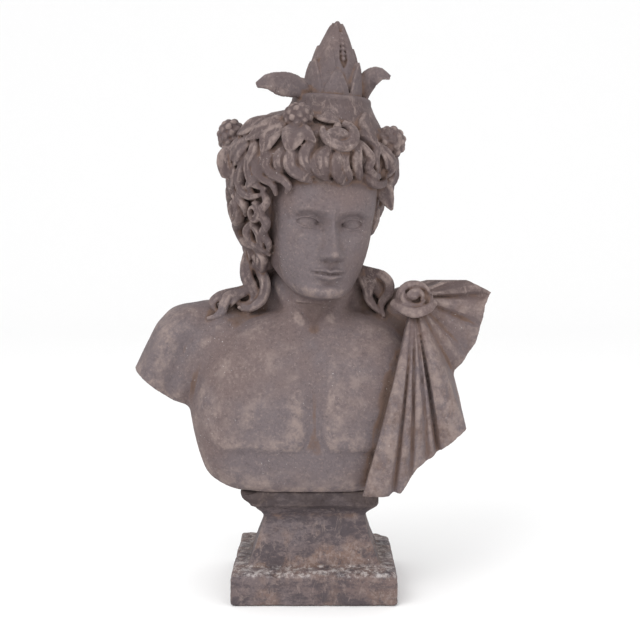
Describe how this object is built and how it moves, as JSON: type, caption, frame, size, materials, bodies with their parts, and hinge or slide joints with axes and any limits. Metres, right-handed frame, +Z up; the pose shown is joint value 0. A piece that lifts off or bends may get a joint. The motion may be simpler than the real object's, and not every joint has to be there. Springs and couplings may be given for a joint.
{
  "type": "classical bust on a socle",
  "caption": "Cast-stone bust of a wreathed youth with a budded crown and a cloth knotted on one shoulder, on a square waisted socle, to stand on a plinth or table.",
  "frame": {"origin": "middle of the socle's underside", "axes": "+Z up along the height, -Y towards the front of the figure, +X towards the figure's left, where the cloth is knotted"},
  "size_m": [0.5073, 0.2608, 0.7969],
  "materials": {
    "bust_stone": "matt weathered cast stone",
    "socle_stone": "matt weathered cast stone"
  },
  "bodies": {
    "root": {"bust": "bust_stone", "socle": "socle_stone"}
  },
  "joints": []
}
